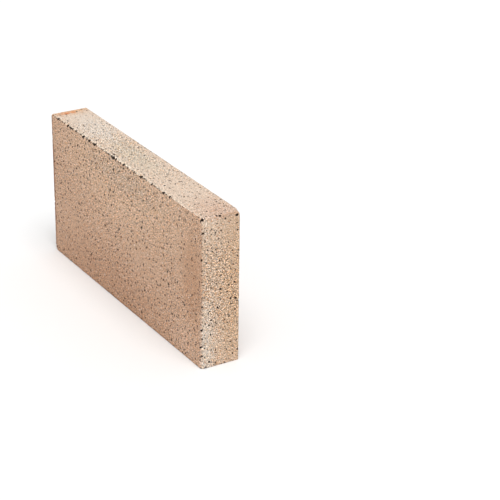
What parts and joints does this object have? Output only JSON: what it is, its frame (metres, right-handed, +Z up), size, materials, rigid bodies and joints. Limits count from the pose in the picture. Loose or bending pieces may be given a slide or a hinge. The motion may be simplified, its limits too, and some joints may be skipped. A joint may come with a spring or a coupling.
{
  "type": "refractory firebrick",
  "caption": "Straight split-format refractory firebrick standing on its long edge, for lining stoves, fireplaces and kilns; flat speckled faces with softened, lightly chipped arrises.",
  "frame": {"origin": "middle of the long edge face that the brick stands on", "axes": "+X along the length, +Y through the thickness, +Z up across the width; the worn large face is at -Y and the worn end at +X"},
  "size_m": [0.23, 0.03, 0.114],
  "materials": {
    "fireclay": "matt buff fired clay, speckled with dark iron spots and pale grog grains"
  },
  "bodies": {
    "root": {"firebrick": "fireclay"}
  },
  "joints": []
}
